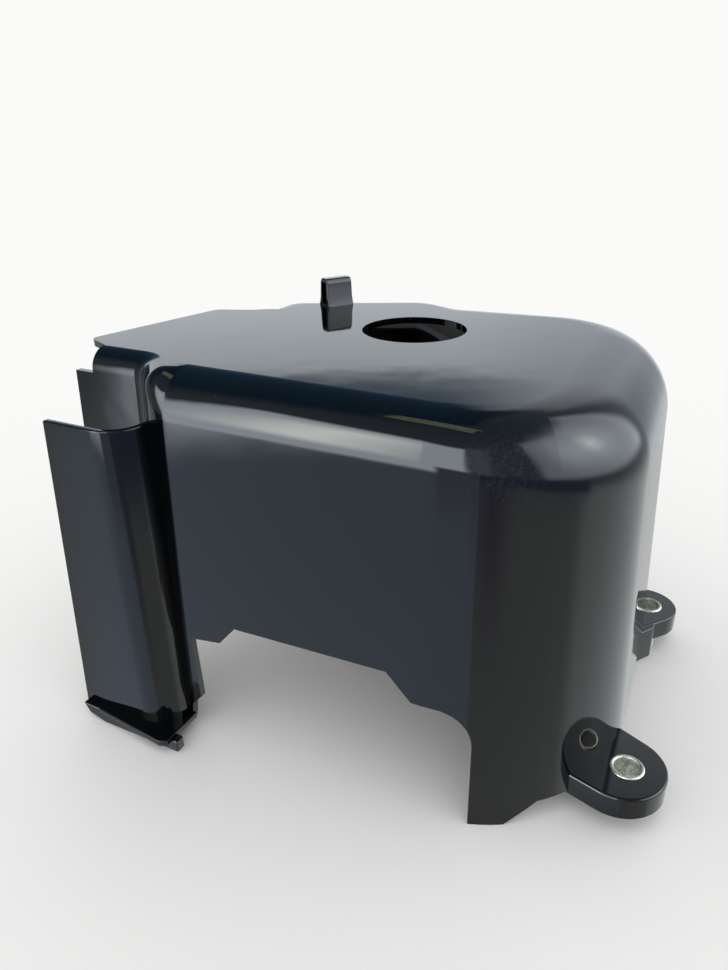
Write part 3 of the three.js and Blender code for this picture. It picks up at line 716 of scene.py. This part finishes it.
def outer_skin():
    """The walls and the roll as one sheet, with the cut-outs left out."""
    stations = wall_stations()
    add_marks(stations, [SET_BACK_ROLL_END_X, *(x for x, _ in STRIP_CHAMFER)], LOW_MARK_Z)
    add_marks(stations, [x for x, _ in CUT_LINE[1:]], CUT_MARK_Z)
    bearings = [math.radians(a) for a in (15, 30, 45, 58, 70, 80, 90)]
    add_marks(stations, [FOOT_EDGE_X - CUT_ROUND * (1 - math.sin(a)) for a in bearings], CUT_MARK_Z)
    add_marks(stations, [x for x, _ in SOLE[1:]], LOW_MARK_Z)
    columns = [column(s) for s in stations]
    rows = len(columns[0])
    select_nothing()
    bpy.ops.mesh.primitive_grid_add(x_subdivisions=len(columns) - 1, y_subdivisions=rows - 1)
    skin = bpy.context.object
    skin.name = "shroud_moulding_skin"
    place_vertices(skin, [columns[c][r] for r in range(rows) for c in range(len(columns))])

    def cut_away(face):
        low = min(face.vertices)
        col, row = low % len(columns), low // len(columns)
        x = stations[col]["x"] + stations[col]["nx"] * draft_at(CUT_MARK_Z)
        front = stations[col]["y"] < NEAR_LUG["centre"][1] and stations[col]["x"] > STRIP_EDGE_X - 0.01
        under_arch = front and row < LOW_ROWS and x < FOOT_EDGE_X - 0.05
        over_gap = stations[col]["x"] < SET_BACK_ROLL_END_X - 0.05 and row >= LOW_ROWS + HIGH_ROWS
        return under_arch or over_gap

    for face in skin.data.polygons:
        face.select = cut_away(face)
    for edge in skin.data.edges:
        edge.select = False
    for vertex in skin.data.vertices:
        vertex.select = False
    bpy.ops.object.mode_set(mode="EDIT")
    bpy.ops.mesh.select_mode(type="FACE")
    bpy.ops.mesh.delete(type="FACE")
    bpy.ops.object.mode_set(mode="OBJECT")
    return skin


def select_where(piece, kind, test):
    """Selects vertices, edges or faces by their place, and leaves the piece in edit mode."""
    only(piece)
    bpy.ops.object.mode_set(mode="EDIT")
    bpy.ops.mesh.select_mode(type=kind)
    bpy.ops.mesh.select_all(action="DESELECT")
    bpy.ops.object.mode_set(mode="OBJECT")
    mesh = piece.data
    items = {"VERT": mesh.vertices, "EDGE": mesh.edges, "FACE": mesh.polygons}[kind]
    for item in items:
        if kind == "VERT":
            item.select = test(item.co)
        elif kind == "EDGE":
            item.select = all(test(mesh.vertices[v].co) for v in item.vertices)
        else:
            item.select = test(item.center)
    bpy.ops.object.mode_set(mode="EDIT")


def close_top(skin):
    """The flat top with its lip and the plug-boot hole, filled in between the roll's upper edges."""
    def flat(co):
        return abs(co.z - HEIGHT) < TOUCH

    def nearest(x, y):
        """Point of the roll's upper edge nearest to this place."""
        place = Vector((x, y, HEIGHT))
        ring = [v.co for v in skin.data.vertices if flat(v.co)]
        return min(ring, key=lambda co: (co - place).length).copy()

    start = nearest(SET_BACK_ROLL_END_X, SET_BACK_Y + SET_BACK_ROLL)
    end = nearest(LEFT_X + LEFT_ROLL, STUB_END_Y)
    outline = [start, *(Vector((x, y, HEIGHT)) for x, y in LIP), end]
    rounded = [outline[0]]
    for before, corner, after in zip(outline, outline[1:], outline[2:]):
        reach = min(LIP_ROUNDING, (corner - before).length / 3, (after - corner).length / 3)
        a = corner + (before - corner).normalized() * reach
        b = corner + (after - corner).normalized() * reach
        for step in range(5):
            t = step / 4
            rounded.append(a * (1 - t) ** 2 + corner * 2 * t * (1 - t) + b * t * t)
    rounded.append(outline[-1])

    select_nothing()
    bpy.ops.mesh.primitive_circle_add(vertices=len(rounded), fill_type="NOTHING")
    lip = bpy.context.object
    place_vertices(lip, rounded)
    select_where(lip, "EDGE", lambda co: min((co - rounded[0]).length, (co - rounded[-1]).length) < TOUCH)
    bpy.ops.mesh.delete(type="EDGE")
    bpy.ops.object.mode_set(mode="OBJECT")

    # A narrow ring round the hole gives the fill a clean edge to stop at
    ring_width = 1.1
    select_nothing()
    bpy.ops.mesh.primitive_circle_add(vertices=96, radius=HOLE_RADIUS, fill_type="NOTHING",
                                      location=(0, 0, HEIGHT))
    hole = bpy.context.object
    bpy.ops.object.transform_apply(location=True)
    bpy.ops.object.mode_set(mode="EDIT")
    bpy.ops.mesh.select_all(action="SELECT")
    bpy.ops.mesh.extrude_edges_move()
    bpy.ops.transform.resize(value=(ring_width, ring_width, 1), center_override=(0, 0, HEIGHT))
    bpy.ops.object.mode_set(mode="OBJECT")

    only(skin)
    lip.select_set(True)
    hole.select_set(True)
    bpy.ops.object.join()
    bpy.ops.object.mode_set(mode="EDIT")
    bpy.ops.mesh.select_all(action="SELECT")
    bpy.ops.mesh.remove_doubles(threshold=WELD)
    bpy.ops.object.mode_set(mode="OBJECT")
    mid_ring = HOLE_RADIUS * 1.05
    select_where(skin, "EDGE", lambda co: flat(co) and co.xy.length > mid_ring)
    bpy.ops.mesh.fill(use_beauty=True)
    bpy.ops.mesh.select_all(action="SELECT")
    bpy.ops.mesh.normals_make_consistent(inside=False)
    bpy.ops.object.mode_set(mode="OBJECT")


def shroud_body():
    skin = outer_skin()
    close_top(skin)
    top_face = max(skin.data.polygons, key=lambda face: face.center.z)
    if top_face.normal.z < 0:
        skin.data.flip_normals()
    apply_modifier(skin, "SOLIDIFY", thickness=WALL, offset=-1, use_even_offset=True,
                   use_quality_normals=True)
    soften_edges(skin, 0.3, angle=40, segments=2)
    return skin


def wing():
    """Curved outer panel in front of the set-back wall."""
    flat_steps, bend_steps, return_steps, levels = 6, 12, 6, 12
    points = []
    for level in range(levels + 1):
        z = WING_BOTTOM + (WING_TOP - WING_BOTTOM) * level / levels
        down = WING_TOP - z
        face_y = FRONT_Y - WING_STANDOFF - down * WING_LEAN
        free_x = RISER_END_X - WING_LENGTH - down * WING_EDGE_LEAN
        root_x = RISER_END_X + down * WING_ROOT_LEAN
        root_y = FRONT_Y - draft_at(z) + WING_ROOT_SINK
        centre_x = root_x - WING_BEND
        centre_y = face_y + WING_BEND_RADIUS
        span = math.hypot(root_x - centre_x, root_y - centre_y)
        end = math.atan2(root_y - centre_y, root_x - centre_x) - math.acos(WING_BEND_RADIUS / span)
        row = [(free_x + (centre_x - free_x) * i / flat_steps, face_y) for i in range(flat_steps)]
        row += arc(centre_x, centre_y, WING_BEND_RADIUS, -90, math.degrees(end), bend_steps)
        last_x, last_y = row[-1]
        shares = [i / return_steps for i in range(1, return_steps + 1)]
        row += [(last_x + (root_x - last_x) * t, last_y + (root_y - last_y) * t) for t in shares]
        points += [(x, y, z) for x, y in row]
    columns = len(points) // (levels + 1)
    select_nothing()
    bpy.ops.mesh.primitive_grid_add(x_subdivisions=columns - 1, y_subdivisions=levels)
    panel = bpy.context.object
    place_vertices(panel, points)
    if panel.data.polygons[0].normal.y > 0:
        panel.data.flip_normals()
    apply_modifier(panel, "SOLIDIFY", thickness=WALL, offset=-1, use_even_offset=True)
    soften_edges(panel, 0.35, angle=40)
    return panel


def ledge():
    wall_y = FRONT_Y - draft_at(LEDGE_TOP) + WALL / 2
    bend_x = RISER_END_X - WING_BEND
    flare, nick = 2.8, 1.0
    piece = prism("ledge", [
        (RIB_START_X + WALL, RIB_FACE_Y), (LEDGE_END_X - WALL, RIB_FACE_Y - flare),
        (LEDGE_END_X, RIB_FACE_Y - flare + nick), (LEDGE_END_X, wall_y), (bend_x + WING_BEND_RADIUS, wall_y),
        (bend_x, RIB_FACE_Y + WALL * 2), (RIB_START_X, RIB_FACE_Y + WALL * 2),
    ], LEDGE_TOP - LEDGE_THICKNESS, LEDGE_TOP)
    soften_edges(piece, 0.4)
    return piece


def rib():
    rounding = 4.0
    stand = Matrix(((1, 0, 0, 0), (0, 0, 1, 0), (0, 1, 0, 0), (0, 0, 0, 1)))
    piece = prism("rib", [
        (RIB_START_X + rounding, 0), (RIB_END_X, 0), (RIB_END_X, LEDGE_TOP - LEDGE_THICKNESS / 2),
        (RIB_START_X - rounding, LEDGE_TOP), (RIB_START_X - rounding / 2, LEDGE_TOP / 3),
    ], RIB_FACE_Y, RIB_FACE_Y + WALL * 1.5, stand)
    soften_edges(piece, 0.35)
    return piece


def lug(shape):
    cx, cy = shape["centre"]
    front, back = shape["splay"]
    outline = arc(cx, cy, shape["radius"], -90 + front, 90 - back, 40)
    first, last = outline[0], outline[-1]
    slope_front, slope_back = math.radians(front), math.radians(back)
    front_root = (first[0] - LUG_ROOT * math.cos(slope_front), first[1] - LUG_ROOT * math.sin(slope_front))
    back_root = (last[0] - LUG_ROOT * math.cos(slope_back), last[1] + LUG_ROOT * math.sin(slope_back))
    outline = [front_root, *outline, back_root]
    plate = prism("lug", outline, LUG_UNDERSIDE, RIM_HEIGHT)
    soften_edges(plate, 0.7, segments=4)
    return plate


def wall_core():
    """The space inside the middle of the wall, low down: what carries lugs must stop short of it."""
    z = RIM_HEIGHT / 2
    inset = draft_at(z) - WALL / 2
    stations = wall_stations(6.0, math.radians(6))
    outline = [(s["x"] + s["nx"] * inset, s["y"] + s["ny"] * inset) for s in stations]
    return prism("wall_core", outline, -10, 30)


def bolt_hole(shape):
    select_nothing()
    bpy.ops.mesh.primitive_cylinder_add(vertices=96, radius=SLEEVE_RADIUS + 0.06, depth=40,
                                        location=(shape["sleeve"], shape["centre"][1], RIM_HEIGHT))
    hole = bpy.context.object
    bpy.ops.object.transform_apply(location=True)
    return hole


def clip():
    half = CLIP_DEPTH / 2
    foot, flare, taper = 2.7, 1.1, 0.4
    outside = [
        (-half - flare, -WALL / 2), (half + flare, -WALL / 2),
        (half, foot), (half - taper, CLIP_HEIGHT - CLIP_WALL),
        (half - CLIP_WALL, CLIP_HEIGHT), (-half + CLIP_WALL, CLIP_HEIGHT),
        (-half + taper, CLIP_HEIGHT - CLIP_WALL), (-half, foot),
    ]
    inner = half - CLIP_WALL
    slot = [(-inner, CLIP_WALL / 2), (inner, CLIP_WALL / 2), (inner, CLIP_HEIGHT - CLIP_WALL),
            (-inner, CLIP_HEIGHT - CLIP_WALL)]
    upright = Matrix.Rotation(math.pi / 2, 4, "X")
    turn = Matrix.Rotation(CLIP_TURN - math.pi / 2, 4, "Z")
    place = Matrix.Translation((*CLIP_PLACE, HEIGHT)) @ turn @ upright
    bridge = prism("clip", outside, -CLIP_WIDTH / 2, CLIP_WIDTH / 2, place)
    soften_edges(bridge, 0.4, angle=25)
    combine(bridge, prism("slot", slot, -CLIP_WIDTH, CLIP_WIDTH, place), "DIFFERENCE")
    return bridge


def finish_piece(piece, name, node, materials):
    """Into the part's frame, smooth, painted, and named for what it replaces."""
    only(piece)
    bpy.ops.object.shade_smooth_by_angle(angle=SMOOTH_BELOW)
    apply_modifier(piece, "WEIGHTED_NORMAL", mode="FACE_AREA", weight=50, keep_sharp=True)
    piece.data.transform(TO_PART)
    piece.name = name
    piece.data.materials.clear()
    for material in materials:
        piece.data.materials.append(material)
    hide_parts(node)
    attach(piece, "root")


def make_shroud():
    body = shroud_body()
    core = wall_core()
    near, far = lug(NEAR_LUG), lug(FAR_LUG)
    leg = prism("leg", LEG_OUTLINE, 0, RIM_HEIGHT - LEG_SINK)
    soften_edges(leg, 0.6)
    combine(far, leg, "UNION")
    combine(near, far, "UNION")
    combine(near, core, "DIFFERENCE")
    for extra in (near, wing(), ledge(), rib(), clip()):
        combine(body, extra, "UNION")
    for shape in (NEAR_LUG, FAR_LUG):
        combine(body, bolt_hole(shape), "DIFFERENCE")
    clean_joints(body)
    plastic = gloss_moulded_polypropylene()
    finish_piece(body, "moulded_shroud", "shroud_moulding", [plastic])


def make_sleeve(name, node, shape, finishes):
    """A section spun round the bolt's axis."""
    lip = 0.35
    section = [
        (BORE_RADIUS, LUG_UNDERSIDE + lip), (BORE_RADIUS + lip, LUG_UNDERSIDE),
        (SLEEVE_RADIUS - lip, LUG_UNDERSIDE), (SLEEVE_RADIUS, LUG_UNDERSIDE + lip),
        (SLEEVE_RADIUS, SLEEVE_TOP - lip), (SLEEVE_RADIUS - lip, SLEEVE_TOP),
        (BORE_RADIUS + lip, SLEEVE_TOP), (BORE_RADIUS, SLEEVE_TOP - lip),
    ]
    x, y = shape["sleeve"], shape["centre"][1]
    select_nothing()
    bpy.ops.mesh.primitive_circle_add(vertices=len(section), fill_type="NOTHING")
    sleeve = bpy.context.object
    place_vertices(sleeve, [(x + radius, y, z) for radius, z in section])
    bpy.ops.object.mode_set(mode="EDIT")
    bpy.ops.mesh.select_all(action="SELECT")
    bpy.ops.mesh.spin(steps=72, angle=2 * math.pi, center=(x, y, 0), axis=(0, 0, 1))
    bpy.ops.mesh.select_all(action="SELECT")
    bpy.ops.mesh.remove_doubles(threshold=TOUCH)
    bpy.ops.object.mode_set(mode="OBJECT")
    face_outwards(sleeve)
    soften_edges(sleeve, 0.12, segments=2)
    finish_piece(sleeve, name, node, finishes)
    axis = (TO_PART @ Vector((x, y, 0))).xy
    for face in sleeve.data.polygons:
        face.material_index = int((face.center.xy - axis).length < (BORE_RADIUS + lip / 2) * MM)


# ---------------------------------------------------------------------------------------------
# The scene
# ---------------------------------------------------------------------------------------------

bpy.context.scene.view_settings.view_transform = "Standard"
add_camera()
add_world()
add_floor()
make_shroud()
steel = [zinc_plated_steel(), tarnished_steel_bore()]
make_sleeve("front_sleeve", "front_lug_sleeve", NEAR_LUG, steel)
make_sleeve("rear_sleeve", "rear_lug_sleeve", FAR_LUG, steel)
